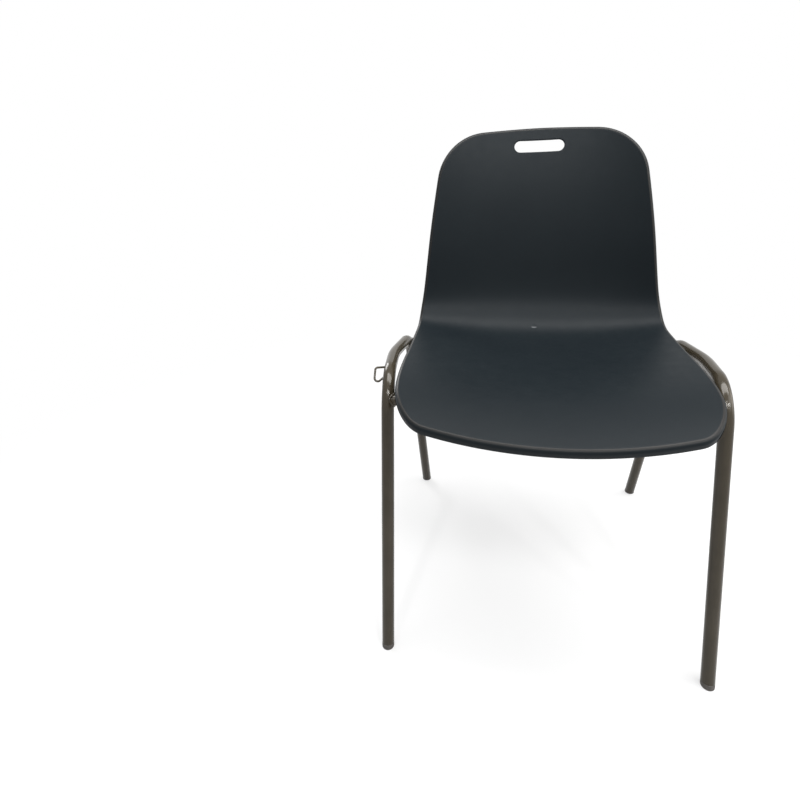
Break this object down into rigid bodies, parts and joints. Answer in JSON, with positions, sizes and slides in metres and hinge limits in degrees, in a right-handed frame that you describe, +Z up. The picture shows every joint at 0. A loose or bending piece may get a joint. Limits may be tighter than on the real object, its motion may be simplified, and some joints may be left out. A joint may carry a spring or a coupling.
{
  "type": "stacking choir chair",
  "caption": "Armless stacking chair for a choir: one-piece moulded shell with a hand-hold slot, screwed to a bent round-tube frame with a side link loop.",
  "frame": {"origin": "on the floor, midway between the two sides, and midway between the front edge of the shell and the back of the rear feet", "axes": "+Z up, the front of the seat faces -Y, and +X is on the right of a person who looks at the front"},
  "size_m": [0.5287, 0.5481, 0.8164],
  "materials": {
    "shell_plastic": "fine-textured charcoal polypropylene, semi-matt",
    "frame_paint": "glossy gunmetal-grey coated steel tube",
    "foot_plastic": "smooth dark brown-grey plastic",
    "zinc_steel": "bright zinc plate",
    "insert_brass": "turned brass"
  },
  "bodies": {
    "root": {"seat_shell": "shell_plastic", "left_side_tube": "frame_paint", "right_side_tube": "frame_paint", "front_cross_tube": "frame_paint", "rear_cross_tube": "frame_paint", "front_left_plate": "frame_paint", "front_right_plate": "frame_paint", "rear_left_plate": "frame_paint", "rear_right_plate": "frame_paint", "shell_screws": "zinc_steel", "screw_washers": "zinc_steel", "threaded_inserts": "insert_brass", "front_left_foot": "foot_plastic", "front_right_foot": "foot_plastic", "rear_left_foot": "foot_plastic", "rear_right_foot": "foot_plastic", "link_loop": "frame_paint"}
  },
  "joints": []
}
